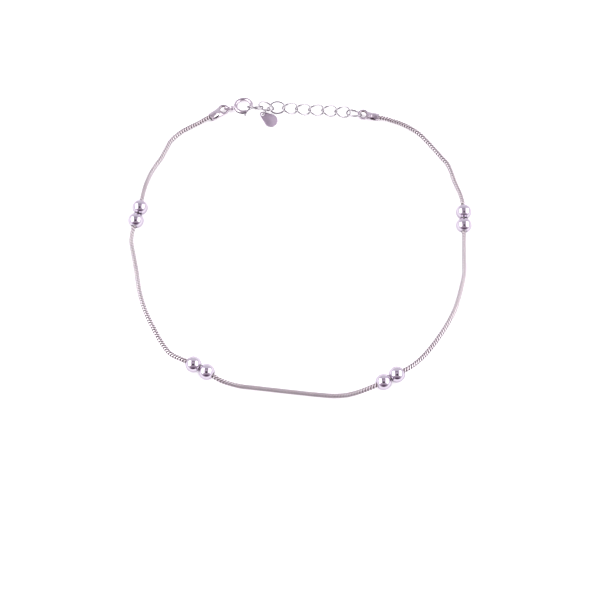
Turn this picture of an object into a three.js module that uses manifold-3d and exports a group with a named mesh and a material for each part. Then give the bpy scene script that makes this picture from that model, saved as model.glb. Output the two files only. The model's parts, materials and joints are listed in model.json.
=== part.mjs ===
// Anklet of silver snake chain with four pairs of round beads, closed by a spring ring clasp
// on a short extender chain, with a plain teardrop tag. It lies flat, fastened in a loop.
// Millimetres, +Z up. The origin is under the middle of the loop, on the surface it lies on.
// +Y points to the clasp side of the loop.

import * as THREE from "three";
import { mergeVertices } from "three/addons/utils/BufferGeometryUtils.js";
import Module from "manifold-3d";

const wasm = await Module();
wasm.setup();

// Driving dimensions
const CHAIN_DIAMETER = 1.2;
const BEAD_DIAMETER = 4;
const BEAD_HOLE_DIAMETER = 1.6;
const BEAD_SPACING = 3.8;

const CAP_HEIGHT = 1;
const CAP_EYE_RADIUS = 1.23;
const CAP_WIRE_RADIUS = 0.28;
const CAP_BODY_RADIUS = 0.95;
const CAP_LIP_RADIUS = 1;
const CAP_LIP_LENGTH = 0.35;
const CAP_BODY_START = 1.15;
const CAP_LENGTH = 4.2;
const CAP_BORE_RADIUS = 0.78;
const CAP_BORE_DEPTH = 1.7;
const CAP_SLIT_WIDTH = 0.36;
const CAP_SLIT_START = 1.75;
const CAP_SLIT_END = 3.3;

const LINK_WIRE_RADIUS = 0.2;
const LINK_HALF_LENGTH = 2.04;
const LINK_HALF_WIDTH = 1.55;

const CLASP_RADIUS = 2.13;
const CLASP_TUBE_RADIUS = 0.5;
const CLASP_BORE_RADIUS = 0.38;
const CLASP_BOLT_RADIUS = 0.23;
const CLASP_LOOP_RADIUS = 0.56;
const CLASP_LOOP_WIRE = 0.15;
const KNOB_STEM_RADIUS = 0.17;
const KNOB_RADIUS = 0.3;
const KNOB_REACH = 3.13;
const KNOB_SLOT_WIDTH = 0.56;

const JUMP_RING_RADIUS = 0.95;
const JUMP_RING_WIRE = 0.22;
const TAG_RING_RADIUS = 1.2;

const TAG_ROUND_RADIUS = 1.85;
const TAG_TIP_RADIUS = 0.78;
const TAG_HOLE_RADIUS = 0.48;
const TAG_LENGTH = 2.75;
const TAG_THICKNESS = 0.3;

// How finely the round shapes are faceted
const CHAIN_SIDES = 8;
const CHAIN_STEPS = 80;
const BEAD_SIDES = 16;
const BEAD_ARC_STEPS = 8;
const LINK_STEPS = 16;
const WIRE_SIDES = 6;
const CAP_SIDES = 12;
const TUBE_SIDES = 10;
const STEP_DEGREES = 12;

const UP = new THREE.Vector3(0, 0, 1);
const radians = THREE.MathUtils.degToRad;

// Where the chain runs, seen from above, from the clasp's end cap down the left side, along the
// front and up the right side to the extender's end cap. Each row is [x, y].
const ROUTE = [
  [-22.89, 36.34], [-24.6, 35.33], [-26.6, 34.2], [-29.0, 32.9], [-31.3, 31.5], [-33.1, 29.9],
  [-34.5, 28.2], [-35.4, 26.2], [-36.5, 23.7], [-38.0, 21.2], [-39.3, 18.7], [-40.1, 16.1],
  [-40.7, 12.2], [-41.25, 8.4], [-42.1, 4.9], [-42.8, 1.9], [-43.1, -0.7], [-42.4, -4.5],
  [-41.5, -8.7], [-40.4, -14.3], [-38.7, -19.4], [-36.5, -23.8], [-34.2, -27.8], [-31.8, -30.8],
  [-29.4, -32.2], [-25.9, -33.8], [-22.8, -35.6], [-19.6, -37.6], [-16.2, -38.6], [-10.0, -39.4],
  [-3.1, -40.2], [4.2, -41.0], [8.4, -41.3], [12.0, -41.0], [16.2, -39.9], [20.3, -38.2],
  [23.6, -36.3], [27.5, -34.0], [31.2, -30.4], [35.4, -24.9], [38.8, -18.9], [40.8, -12.8],
  [41.7, -8.8], [41.8, -3.6], [42.0, 3.4], [42.15, 7.2], [41.85, 11.2], [40.5, 16.4],
  [38.9, 21.6], [37.2, 23.9], [33.5, 28.7], [31.4, 31.0], [29.0, 32.7], [26.5, 34.0],
  [23.7, 34.95], [21.4, 35.37], [19.64, 35.74],
];

// What lifts the chain off the surface, with the length that it holds level on each side
// and the length over which the chain then comes down.
const BEAD_PAIRS = [
  { x: -41.7, y: 6.65 },
  { x: -24.35, y: -34.6 },
  { x: 21.95, y: -37.25 },
  { x: 42.1, y: 5.35 },
];
const BEAD_LEVEL = 3.9;
const BEAD_RAMP = 8;

// The two end caps: the middle of each eye, and where the cap points, from the chain to the eye
const CLASP_CAP = { x: -20.5, y: 37.8, heading: 31.5 };
const EXTENDER_CAP = { x: 16.9, y: 36.3, heading: 168.4 };
const CAP_LEVEL = 4.6;
const CAP_RAMP = 4;

// The clasp. Its plane is raised a little away from its loop, and it dips towards +Y.
const CLASP = { x: -15.165, y: 38.93, z: 1.182, loopHeading: 192.8, rise: 4, dip: 8 };
const GATE_START = -65;
const GATE_END = -18;
const SOCKET_DEPTH = 24;
const CHANNEL_DEPTH = 118;
const BOLT_TIP = -8;
const BOLT_TAIL = -124;
const KNOB_ANGLE = -80;
const SLOT_START = -71;
const SLOT_END = -139;

const JUMP_RING = { distance: 1.41, z: 1.16, heading: 4, lean: 16 };

// The extender's links. Each is a closed loop of wire. x, y and z are its middle, heading and
// pitch turn its long axis, and its wire is rolled about that axis from its first end to its last.
const LINKS = [
  { x: -11.978, y: 38.153, z: 1.622, heading: -8, pitch: 8.4, firstRoll: -74.6, lastRoll: -35.8 },
  { x: -9.005, y: 38.738, z: 1.026, heading: -18.8, pitch: -6.9, firstRoll: -1.4, lastRoll: -40.7 },
  { x: -6.1, y: 38.544, z: 0.849, heading: 0, pitch: 0.6, firstRoll: 12.5, lastRoll: 33.1 },
  { x: -2.7, y: 38.45, z: 0.66, heading: -3, pitch: 0, firstRoll: -35, lastRoll: 35 },
  { x: 0.8, y: 38.15, z: 0.66, heading: -6, pitch: 0, firstRoll: -35, lastRoll: 35 },
  { x: 4.32, y: 37.9, z: 0.66, heading: -3, pitch: 0, firstRoll: -35, lastRoll: 35 },
  { x: 7.85, y: 37.7, z: 0.66, heading: -4, pitch: 0, firstRoll: -35, lastRoll: 35 },
  { x: 11.4, y: 37.35, z: 0.66, heading: -5, pitch: 0, firstRoll: -35, lastRoll: 35 },
  { x: 14.486, y: 36.6, z: 1.014, heading: -21, pitch: 8.4, firstRoll: -16.3, lastRoll: -46.7 },
];

const TAG_RING = { x: -9.206, y: 37.23, z: 1.339, heading: 54.8, lean: 20.1 };
const TAG = { x: -10, y: 36.42, z: 0.889, heading: -36, pitch: 9 };

// Materials
function silver(color, roughness) {
  return new THREE.MeshStandardMaterial({ color, roughness, metalness: 1 });
}
const POLISHED = silver(0xe6e0e8, 0.12);
const WIRE = silver(0xd9d4dc, 0.2);
const RIBBED = silver(0xc9c1cc, 0.3);
const SATIN = silver(0xb3a4b8, 0.4);

// A closed polygon in the shape of a circle, turned so that a flat side faces straight down
function roundSection(radius, sides) {
  const points = [];
  for (let i = 0; i < sides; i++) {
    const angle = ((i + 0.5) / sides) * 2 * Math.PI;
    points.push(new THREE.Vector2(radius * Math.sin(angle), -radius * Math.cos(angle)));
  }
  return new THREE.Shape(points);
}

function tubeAlong(path, section, steps) {
  return new THREE.ExtrudeGeometry(section, { extrudePath: path, steps, bevelEnabled: false });
}

// An arc of a circle in the XY plane, between two angles in degrees
class ArcPath extends THREE.Curve {
  constructor(radius, from, to) {
    super();
    this.radius = radius;
    this.from = radians(from);
    this.to = radians(to);
  }
  getPoint(t, target = new THREE.Vector3()) {
    const angle = THREE.MathUtils.lerp(this.from, this.to, t);
    return target.set(this.radius * Math.cos(angle), this.radius * Math.sin(angle), 0);
  }
}

function arcTube(radius, tubeRadius, from, to) {
  const steps = Math.max(2, Math.round(Math.abs(to - from) / STEP_DEGREES));
  return tubeAlong(new ArcPath(radius, from, to), roundSection(tubeRadius, TUBE_SIDES), steps);
}

// The closed loop of a link: an oval along X, rolled about X from its first end to its last
class LinkPath extends THREE.Curve {
  constructor(halfLength, halfWidth, firstRoll, lastRoll) {
    super();
    this.halfLength = halfLength;
    this.halfWidth = halfWidth;
    this.firstRoll = radians(firstRoll);
    this.lastRoll = radians(lastRoll);
  }
  getPoint(t, target = new THREE.Vector3()) {
    const angle = t * 2 * Math.PI;
    const along = Math.cos(angle);
    const across = this.halfWidth * Math.sin(angle);
    const roll = THREE.MathUtils.lerp(this.firstRoll, this.lastRoll, (along + 1) / 2);
    return target.set(this.halfLength * along, across * Math.cos(roll), across * Math.sin(roll));
  }
}

// Geometry to exact solid and back, for the pieces that are joined and cut
function solidOf(geometry) {
  const bare = geometry.clone();
  bare.deleteAttribute("normal");
  bare.deleteAttribute("uv");
  const welded = mergeVertices(bare, 1e-4);
  const mesh = new wasm.Mesh({
    numProp: 3,
    vertProperties: new Float32Array(welded.attributes.position.array),
    triVerts: new Uint32Array(welded.index.array),
  });
  return new wasm.Manifold(mesh);
}

function geometryOf(solid) {
  const mesh = solid.getMesh();
  const geometry = new THREE.BufferGeometry();
  geometry.setAttribute("position", new THREE.BufferAttribute(mesh.vertProperties, 3));
  geometry.setIndex(new THREE.BufferAttribute(mesh.triVerts, 1));
  geometry.computeVertexNormals();
  return geometry;
}

// A cylinder along X, from one x to another
function barAlongX(radius, from, to, sides) {
  const bar = new THREE.CylinderGeometry(radius, radius, to - from, sides);
  bar.rotateY(Math.PI / sides);
  bar.rotateZ(-Math.PI / 2);
  bar.translate((from + to) / 2, 0, 0);
  return bar;
}

// Snake chain
const CHAIN_RADIUS = CHAIN_DIAMETER / 2;
const CHAIN_REST = CHAIN_RADIUS * Math.cos(Math.PI / CHAIN_SIDES);
const SUPPORTS = [
  ...BEAD_PAIRS.map((pair) => ({ ...pair, z: BEAD_DIAMETER / 2, level: BEAD_LEVEL, ramp: BEAD_RAMP })),
  { ...CLASP_CAP, z: CAP_HEIGHT, level: CAP_LEVEL, ramp: CAP_RAMP },
  { ...EXTENDER_CAP, z: CAP_HEIGHT, level: CAP_LEVEL, ramp: CAP_RAMP },
];

// How high the chain's middle is: on the surface, and lifted smoothly where a support carries it
function chainHeight(point) {
  let height = CHAIN_REST;
  for (const support of SUPPORTS) {
    const distance = Math.hypot(point.x - support.x, point.y - support.y);
    const lift = THREE.MathUtils.smoothstep(support.level + support.ramp - distance, 0, support.ramp);
    height = Math.max(height, CHAIN_REST + (support.z - CHAIN_REST) * lift);
  }
  return height;
}

class ChainPath extends THREE.Curve {
  constructor(rows) {
    super();
    this.plan = new THREE.CatmullRomCurve3(rows.map(([x, y]) => new THREE.Vector3(x, y, 0)));
  }
  getPoint(t, target = new THREE.Vector3()) {
    this.plan.getPoint(t, target);
    target.z = chainHeight(target);
    return target;
  }
  // Frames that stay level, so that the chain's underside is flat where it lies
  computeFrenetFrames(steps) {
    const frames = { tangents: [], normals: [], binormals: [] };
    for (let i = 0; i <= steps; i++) {
      const tangent = this.getTangentAt(i / steps);
      const side = new THREE.Vector3().crossVectors(UP, tangent).normalize();
      frames.tangents.push(tangent);
      frames.normals.push(side);
      frames.binormals.push(new THREE.Vector3().crossVectors(tangent, side));
    }
    return frames;
  }
}

const chainPath = new ChainPath(ROUTE);
chainPath.arcLengthDivisions = 2000;

function snakeChain() {
  return tubeAlong(chainPath, roundSection(CHAIN_RADIUS, CHAIN_SIDES), CHAIN_STEPS);
}

// The place along the chain, from 0 to 1, that is nearest to a point
function placeNear(point) {
  const samples = 2000;
  let best = 0;
  let shortest = Infinity;
  for (let i = 0; i <= samples; i++) {
    const here = chainPath.getPointAt(i / samples);
    const distance = Math.hypot(here.x - point.x, here.y - point.y);
    if (distance < shortest) {
      shortest = distance;
      best = i / samples;
    }
  }
  return best;
}

// Drilled bead, turned about its own hole along Y
function beadGeometry() {
  const radius = BEAD_DIAMETER / 2;
  const hole = BEAD_HOLE_DIAMETER / 2;
  const edge = Math.asin(hole / radius);
  const profile = [];
  for (let i = 0; i <= BEAD_ARC_STEPS; i++) {
    const angle = THREE.MathUtils.lerp(Math.PI - edge, edge, i / BEAD_ARC_STEPS);
    profile.push(new THREE.Vector2(radius * Math.sin(angle), radius * Math.cos(angle)));
  }
  profile.push(profile[0].clone());
  return new THREE.LatheGeometry(profile, BEAD_SIDES);
}

// Folded end cap. Its eye is round X = 0 and its legs run along -X to the lip, where the chain
// goes in. A slit between the legs shows the chain's end.
function endCapGeometry() {
  const eye = new THREE.TorusGeometry(CAP_EYE_RADIUS, CAP_WIRE_RADIUS, WIRE_SIDES, LINK_STEPS);
  const body = barAlongX(CAP_BODY_RADIUS, -CAP_LENGTH, -CAP_BODY_START, CAP_SIDES);
  const lip = barAlongX(CAP_LIP_RADIUS, -CAP_LENGTH, -CAP_LENGTH + CAP_LIP_LENGTH, CAP_SIDES);
  const bore = barAlongX(CAP_BORE_RADIUS, -CAP_LENGTH - 1, -CAP_LENGTH + CAP_BORE_DEPTH, CAP_SIDES);
  const slitLength = CAP_SLIT_END - CAP_SLIT_START;
  const slit = new THREE.BoxGeometry(slitLength, CAP_SLIT_WIDTH, 4 * CAP_BODY_RADIUS);
  slit.translate(-CAP_SLIT_START - slitLength / 2, 0, 0);

  const cap = solidOf(eye)
    .add(solidOf(body))
    .add(solidOf(lip))
    .subtract(solidOf(bore))
    .subtract(solidOf(slit));
  return geometryOf(cap);
}

// Hollow ring of the clasp, in the XY plane. The channel that holds the bolt opens at the first
// side of the gate, a short socket at the other side takes its tip, and the knob runs in a slot.
function claspRingGeometry() {
  const ring = arcTube(CLASP_RADIUS, CLASP_TUBE_RADIUS, GATE_END, GATE_START + 360);
  const socket = arcTube(CLASP_RADIUS, CLASP_BORE_RADIUS, GATE_END - 4, GATE_END + SOCKET_DEPTH);
  const channel = arcTube(CLASP_RADIUS, CLASP_BORE_RADIUS, GATE_START + 4, GATE_START - CHANNEL_DEPTH);
  const slotReach = CLASP_TUBE_RADIUS + 0.3;
  const slotSection = new THREE.Shape([
    new THREE.Vector2(0, -KNOB_SLOT_WIDTH / 2),
    new THREE.Vector2(slotReach, -KNOB_SLOT_WIDTH / 2),
    new THREE.Vector2(slotReach, KNOB_SLOT_WIDTH / 2),
    new THREE.Vector2(0, KNOB_SLOT_WIDTH / 2),
  ]);
  const slot = arcSweep(slotSection, SLOT_START, SLOT_END);
  const loop = new THREE.TorusGeometry(CLASP_LOOP_RADIUS, CLASP_LOOP_WIRE, WIRE_SIDES, CAP_SIDES);
  const loopReach = CLASP_RADIUS + CLASP_TUBE_RADIUS + CLASP_LOOP_RADIUS - 0.08;
  const loopAngle = radians(CLASP.loopHeading);
  loop.translate(loopReach * Math.cos(loopAngle), loopReach * Math.sin(loopAngle), 0);
  const clasp = solidOf(ring)
    .add(solidOf(loop))
    .subtract(solidOf(socket))
    .subtract(solidOf(channel))
    .subtract(solidOf(slot));
  return geometryOf(clasp);
}

// A section swept round the clasp's circle, with its first axis pointing outwards
function arcSweep(section, from, to) {
  const path = new ArcPath(CLASP_RADIUS, from, to);
  path.computeFrenetFrames = (steps) => {
    const frames = { tangents: [], normals: [], binormals: [] };
    for (let i = 0; i <= steps; i++) {
      const tangent = path.getTangentAt(i / steps);
      const outwards = path.getPointAt(i / steps).normalize();
      frames.tangents.push(tangent);
      frames.normals.push(outwards);
      frames.binormals.push(new THREE.Vector3().crossVectors(tangent, outwards));
    }
    return frames;
  };
  const steps = Math.round(Math.abs(to - from) / STEP_DEGREES);
  return tubeAlong(path, section, steps);
}

// Curved bolt of the clasp with its thumb knob, in the same frame as the ring
function claspBoltGeometry() {
  const rod = arcTube(CLASP_RADIUS, CLASP_BOLT_RADIUS, BOLT_TIP, BOLT_TAIL);
  const stem = barAlongX(KNOB_STEM_RADIUS, CLASP_RADIUS, KNOB_REACH, WIRE_SIDES);
  const knob = new THREE.SphereGeometry(KNOB_RADIUS, TUBE_SIDES, WIRE_SIDES);
  knob.translate(KNOB_REACH, 0, 0);
  const thumb = solidOf(stem).add(solidOf(knob)).rotate([0, 0, KNOB_ANGLE]);
  return geometryOf(solidOf(rod).add(thumb));
}

// Link of round wire
function linkGeometry({ firstRoll, lastRoll }) {
  const path = new LinkPath(LINK_HALF_LENGTH, LINK_HALF_WIDTH, firstRoll, lastRoll);
  return new THREE.TubeGeometry(path, LINK_STEPS, LINK_WIRE_RADIUS, WIRE_SIDES, true);
}

function ringGeometry(radius, wireRadius) {
  return new THREE.TorusGeometry(radius, wireRadius, WIRE_SIDES, LINK_STEPS);
}

// Flat teardrop tag, along +X from the middle of its hole to the middle of its round end
function tagGeometry() {
  const spread = Math.acos((TAG_ROUND_RADIUS - TAG_TIP_RADIUS) / TAG_LENGTH);
  const outline = new THREE.Shape();
  outline.absarc(TAG_LENGTH, 0, TAG_ROUND_RADIUS, spread - Math.PI, Math.PI - spread);
  outline.absarc(0, 0, TAG_TIP_RADIUS, Math.PI - spread, Math.PI + spread);
  const hole = new THREE.Path();
  hole.absarc(0, 0, TAG_HOLE_RADIUS, 0, 2 * Math.PI);
  outline.holes.push(hole);
  const plate = new THREE.ExtrudeGeometry(outline, {
    depth: TAG_THICKNESS,
    bevelEnabled: false,
    curveSegments: CAP_SIDES,
  });
  plate.translate(0, 0, -TAG_THICKNESS / 2);
  return plate;
}

// The middle of the loop's outline in the route's own coordinates
const LOOP_MIDDLE = new THREE.Vector3(0.016, -0.143, 0);

const anklet = new THREE.Group();
anklet.position.copy(LOOP_MIDDLE).negate();

function place(name, geometry, material, x, y, z) {
  const mesh = new THREE.Mesh(geometry, material);
  mesh.name = name;
  mesh.position.set(x, y, z);
  mesh.rotation.order = "ZYX";
  anklet.add(mesh);
  return mesh;
}

place("snake_chain", snakeChain(), RIBBED.clone(), 0, 0, 0);

const bead = beadGeometry();
BEAD_PAIRS.forEach((pair, pairIndex) => {
  const middle = placeNear(pair);
  const halfSpacing = BEAD_SPACING / 2 / chainPath.getLength();
  [middle - halfSpacing, middle + halfSpacing].forEach((along, side) => {
    const name = `bead_0${2 * pairIndex + side + 1}`;
    const at = chainPath.getPointAt(along);
    const mesh = place(name, bead, POLISHED.clone(), at.x, at.y, BEAD_DIAMETER / 2);
    const tangent = chainPath.getTangentAt(along);
    mesh.quaternion.setFromUnitVectors(new THREE.Vector3(0, 1, 0), tangent);
  });
});

for (const [name, cap] of [["end_cap_clasp", CLASP_CAP], ["end_cap_extender", EXTENDER_CAP]]) {
  const mesh = place(name, endCapGeometry(), POLISHED.clone(), cap.x, cap.y, CAP_HEIGHT);
  mesh.rotation.z = radians(cap.heading);
}

// The clasp's ring and bolt share one frame
const clasp = new THREE.Group();
clasp.position.set(CLASP.x, CLASP.y, CLASP.z);
const acrossLoop = new THREE.Vector3(
  Math.sin(radians(CLASP.loopHeading)),
  -Math.cos(radians(CLASP.loopHeading)),
  0,
);
clasp.quaternion.setFromAxisAngle(acrossLoop, radians(-CLASP.rise));
clasp.rotateOnWorldAxis(new THREE.Vector3(1, 0, 0), radians(-CLASP.dip));
anklet.add(clasp);
clasp.add(place("clasp_ring", claspRingGeometry(), POLISHED.clone(), 0, 0, 0));
clasp.add(place("clasp_bolt", claspBoltGeometry(), WIRE.clone(), 0, 0, 0));

// Jump ring between the first cap's eye and the clasp's loop. It stands, leaning towards -Y.
const towardsClasp = radians(CLASP.loopHeading - 180);
const jumpRing = place(
  "clasp_jump_ring",
  ringGeometry(JUMP_RING_RADIUS, JUMP_RING_WIRE),
  WIRE.clone(),
  CLASP_CAP.x + JUMP_RING.distance * Math.cos(towardsClasp),
  CLASP_CAP.y + JUMP_RING.distance * Math.sin(towardsClasp),
  JUMP_RING.z,
);
jumpRing.rotation.set(radians(90 + JUMP_RING.lean), 0, radians(JUMP_RING.heading));

LINKS.forEach((link, index) => {
  const mesh = place(`link_0${index + 1}`, linkGeometry(link), WIRE.clone(), link.x, link.y, link.z);
  mesh.rotation.set(0, radians(-link.pitch), radians(link.heading));
});

const tagRing = place(
  "tag_ring",
  ringGeometry(TAG_RING_RADIUS, LINK_WIRE_RADIUS),
  WIRE.clone(),
  TAG_RING.x,
  TAG_RING.y,
  TAG_RING.z,
);
tagRing.rotation.set(radians(90 + TAG_RING.lean), 0, radians(TAG_RING.heading));

const tag = place("tag_plate", tagGeometry(), SATIN.clone(), TAG.x, TAG.y, TAG.z);
tag.rotation.set(0, radians(TAG.pitch), radians(TAG.heading));

export default anklet;
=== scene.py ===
# Anklet of silver snake chain with four pairs of beads, dressed for its picture.
# Lengths are in metres. +Z is up, the anklet lies on Z = 0, and +Y points to its clasp.

# %% [markdown]
# The solids of the anklet are loaded first. They say where each piece is and how big it is, and
# nothing here moves them. Each piece made below rides on the same body as the solid that it stands
# for, so the clasp's bolt still slides when the joint moves.

# %% Load the solids
import json
import math

import bmesh
import bpy
import numpy as np
from mathutils import Matrix, Vector


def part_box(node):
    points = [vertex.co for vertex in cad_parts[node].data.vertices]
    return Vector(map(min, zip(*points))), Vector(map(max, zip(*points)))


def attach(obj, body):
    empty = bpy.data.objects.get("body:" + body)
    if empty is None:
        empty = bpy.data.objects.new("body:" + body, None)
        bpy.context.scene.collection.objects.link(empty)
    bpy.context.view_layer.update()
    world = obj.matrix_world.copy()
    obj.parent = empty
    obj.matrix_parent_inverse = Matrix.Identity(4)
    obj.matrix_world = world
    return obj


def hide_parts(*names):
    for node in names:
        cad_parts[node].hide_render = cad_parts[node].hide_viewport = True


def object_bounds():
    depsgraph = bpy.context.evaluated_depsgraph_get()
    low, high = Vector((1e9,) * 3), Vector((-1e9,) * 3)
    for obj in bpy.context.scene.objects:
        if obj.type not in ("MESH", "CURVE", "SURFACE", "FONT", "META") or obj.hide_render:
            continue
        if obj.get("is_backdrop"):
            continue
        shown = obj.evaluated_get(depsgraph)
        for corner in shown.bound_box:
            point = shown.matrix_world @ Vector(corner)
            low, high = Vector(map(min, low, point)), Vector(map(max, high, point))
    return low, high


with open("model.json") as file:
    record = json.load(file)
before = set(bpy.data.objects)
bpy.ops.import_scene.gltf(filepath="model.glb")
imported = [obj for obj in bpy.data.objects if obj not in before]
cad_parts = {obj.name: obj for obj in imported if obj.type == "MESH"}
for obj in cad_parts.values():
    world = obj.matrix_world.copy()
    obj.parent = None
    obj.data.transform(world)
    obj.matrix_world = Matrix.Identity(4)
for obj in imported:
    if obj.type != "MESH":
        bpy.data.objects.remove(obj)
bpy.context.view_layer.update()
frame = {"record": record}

# %% [markdown]
# The photograph looks down at the loop from the front. The camera's place could be guessed by eye,
# but the beads are all equal, so their sizes and the distances between them in the picture
# give the lens and the distance. They fit a 66 mm lens, 277 mm away, tilted 20.3 degrees from
# straight down.

# %% Place the camera
LOOP_MIDDLE = Vector((0.000016, -0.000143, 0))
AIM = Vector((0, -0.0162, 0)) - LOOP_MIDDLE
CAMERA_TILT = math.radians(20.3)
CAMERA_DISTANCE = 0.277

camera = bpy.data.objects.new("camera", bpy.data.cameras.new("camera"))
camera.data.sensor_width = 36
camera.data.lens = 66
camera.data.clip_start = 0.005
camera.rotation_euler = (CAMERA_TILT, 0, 0)
back_off = Vector((0, -math.sin(CAMERA_TILT), math.cos(CAMERA_TILT)))
camera.location = AIM + CAMERA_DISTANCE * back_off
bpy.context.scene.collection.objects.link(camera)
bpy.context.scene.camera = camera
print("camera at", [round(1000 * c, 1) for c in camera.location], "mm")

# %% [markdown]
# The anklet lies on a plain white table. A flat sheet does, and it only has to be so large that
# its edges stay out of sight and it fills the lower half of what the silver reflects. It is marked
# as stage, because it isn't part of the anklet.

# %% Lay the table
TABLE_HALF = 2.5
TABLE_DROP = 0.00002

table_mesh = bpy.data.meshes.new("table")
table_corners = [
    (-TABLE_HALF, -TABLE_HALF, 0),
    (TABLE_HALF, -TABLE_HALF, 0),
    (TABLE_HALF, TABLE_HALF, 0),
    (-TABLE_HALF, TABLE_HALF, 0),
]
table_mesh.from_pydata(table_corners, [], [(0, 1, 2, 3)])
table = bpy.data.objects.new("table", table_mesh)
table.location.z = -TABLE_DROP
bpy.context.scene.collection.objects.link(table)
table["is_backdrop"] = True
print("table", 2 * TABLE_HALF, "m wide")

# %% [markdown]
# Polished silver has hardly any colour of its own. What shows is the room: white boxes of light at
# the left and the right, the white table, and the dim room above, where the camera is. Small lamps
# would show as dots in every bead, so two big area lights stand for the boxes. They also light
# the table.

# %% Set up the soft boxes
BOX_DISTANCE = 0.5
BOX_TOWARDS_CLASP = 0.02
BOX_SIZE = (0.62, 0.36)
BOX_ANGLES = {"left_box": 142, "right_box": 40}
BOX_POWER = 2.1


def add_soft_box(name, angle_degrees, power):
    angle = math.radians(angle_degrees)
    light = bpy.data.lights.new(name, "AREA")
    light.shape = "RECTANGLE"
    light.size = BOX_SIZE[0]
    light.size_y = BOX_SIZE[1]
    light.energy = power
    box = bpy.data.objects.new(name, light)
    box.location = (BOX_DISTANCE * math.cos(angle), BOX_TOWARDS_CLASP, BOX_DISTANCE * math.sin(angle))
    box.rotation_euler = (Vector((0, 0, 0)) - box.location).to_track_quat("-Z", "Y").to_euler()
    bpy.context.scene.collection.objects.link(box)


for box_name, box_angle in BOX_ANGLES.items():
    add_soft_box(box_name, box_angle, BOX_POWER)
print("soft boxes:", len(BOX_ANGLES))

# %% [markdown]
# The beads in the picture work like small round mirrors and show the rest of the room. It is dark
# in front, down to the table's edge, mauve grey overhead, and pale behind the anklet. A photographed
# room could be wrapped round the scene, but one ramp along Y gives those tones without a picture,
# with pale side walls mixed in by X.

# %% Paint the room
ROOM_ALONG_Y = [
    (-1.0, (0.11, 0.06, 0.11)),
    (-0.93, (0.15, 0.09, 0.15)),
    (-0.8, (0.38, 0.31, 0.39)),
    (-0.65, (0.62, 0.54, 0.62)),
    (0.05, (0.7, 0.64, 0.72)),
    (0.22, (0.62, 0.56, 0.64)),
    (0.36, (0.33, 0.28, 0.35)),
    (0.52, (0.42, 0.37, 0.45)),
    (0.64, (0.8, 0.76, 0.86)),
    (1.0, (0.9, 0.88, 0.94)),
]
SIDE_WALL = (0.84, 0.82, 0.9, 1)
SIDE_WALL_RANGE = (0.6, 0.85)


def half_scale(value):
    # From -1..1 to the 0..1 that a ramp takes
    return (value + 1) / 2


world = bpy.data.worlds.new("studio")
world.use_nodes = True
bpy.context.scene.world = world
room = world.node_tree
room.nodes.clear()
room_direction = room.nodes.new("ShaderNodeTexCoord")
room_split = room.nodes.new("ShaderNodeSeparateXYZ")
room.links.new(room_direction.outputs["Generated"], room_split.inputs[0])
room_y = room.nodes.new("ShaderNodeMapRange")
room_y.inputs["From Min"].default_value = -1
room.links.new(room_split.outputs["Y"], room_y.inputs["Value"])
room_ramp = room.nodes.new("ShaderNodeValToRGB")
stops = room_ramp.color_ramp.elements
while len(stops) < len(ROOM_ALONG_Y):
    stops.new(0.5)
for stop, (y, tone) in zip(stops, ROOM_ALONG_Y):
    stop.position = half_scale(y)
    stop.color = (*tone, 1)
room.links.new(room_y.outputs["Result"], room_ramp.inputs[0])
room_side = room.nodes.new("ShaderNodeMath")
room_side.operation = "ABSOLUTE"
room.links.new(room_split.outputs["X"], room_side.inputs[0])
room_wall = room.nodes.new("ShaderNodeMapRange")
room_wall.interpolation_type = "SMOOTHSTEP"
room_wall.inputs["From Min"].default_value = SIDE_WALL_RANGE[0]
room_wall.inputs["From Max"].default_value = SIDE_WALL_RANGE[1]
room.links.new(room_side.outputs[0], room_wall.inputs["Value"])
room_mix = room.nodes.new("ShaderNodeMix")
room_mix.data_type = "RGBA"
room.links.new(room_wall.outputs["Result"], room_mix.inputs["Factor"])
room.links.new(room_ramp.outputs[0], room_mix.inputs[6])
room_mix.inputs[7].default_value = SIDE_WALL
print("room tones:", len(ROOM_ALONG_Y))

# %% [markdown]
# In the middle of each bead there is a small dark spot: the lens that looks down at it. It is
# painted into the room as a dark patch in the direction of the camera's place. The picture's own
# background stays plain, so rays that come straight from the camera see an even pale tone.

# %% Add the lens and the plain background
LENS_PATCH = (math.cos(math.radians(18)), math.cos(math.radians(11)))
LENS_TONE = (0.03, 0.015, 0.03, 1)
BACKGROUND_TONE = (0.93, 0.93, 0.94, 1)

lens_angle = room.nodes.new("ShaderNodeVectorMath")
lens_angle.operation = "DOT_PRODUCT"
lens_angle.inputs[1].default_value = back_off
room.links.new(room_direction.outputs["Generated"], lens_angle.inputs[0])
lens_patch = room.nodes.new("ShaderNodeMapRange")
lens_patch.interpolation_type = "SMOOTHSTEP"
lens_patch.inputs["From Min"].default_value = LENS_PATCH[0]
lens_patch.inputs["From Max"].default_value = LENS_PATCH[1]
room.links.new(lens_angle.outputs["Value"], lens_patch.inputs["Value"])
lens_mix = room.nodes.new("ShaderNodeMix")
lens_mix.data_type = "RGBA"
room.links.new(lens_patch.outputs["Result"], lens_mix.inputs["Factor"])
room.links.new(room_mix.outputs[2], lens_mix.inputs[6])
lens_mix.inputs[7].default_value = LENS_TONE
lit_room = room.nodes.new("ShaderNodeBackground")
room.links.new(lens_mix.outputs[2], lit_room.inputs["Color"])
plain = room.nodes.new("ShaderNodeBackground")
plain.inputs["Color"].default_value = BACKGROUND_TONE
ray = room.nodes.new("ShaderNodeLightPath")
choice = room.nodes.new("ShaderNodeMixShader")
room.links.new(ray.outputs["Is Camera Ray"], choice.inputs[0])
room.links.new(lit_room.outputs[0], choice.inputs[1])
room.links.new(plain.outputs[0], choice.inputs[2])
room_out = room.nodes.new("ShaderNodeOutputWorld")
room.links.new(choice.outputs[0], room_out.inputs["Surface"])
bpy.context.scene.view_settings.view_transform = "Standard"
print("room nodes:", len(room.nodes))

# %% [markdown]
# All the metal is the same silver, handled in different ways, so its effects are shared node groups.
# The first group gives the tone: a bright silver with faint cloudy patches of a darker one.

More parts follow.
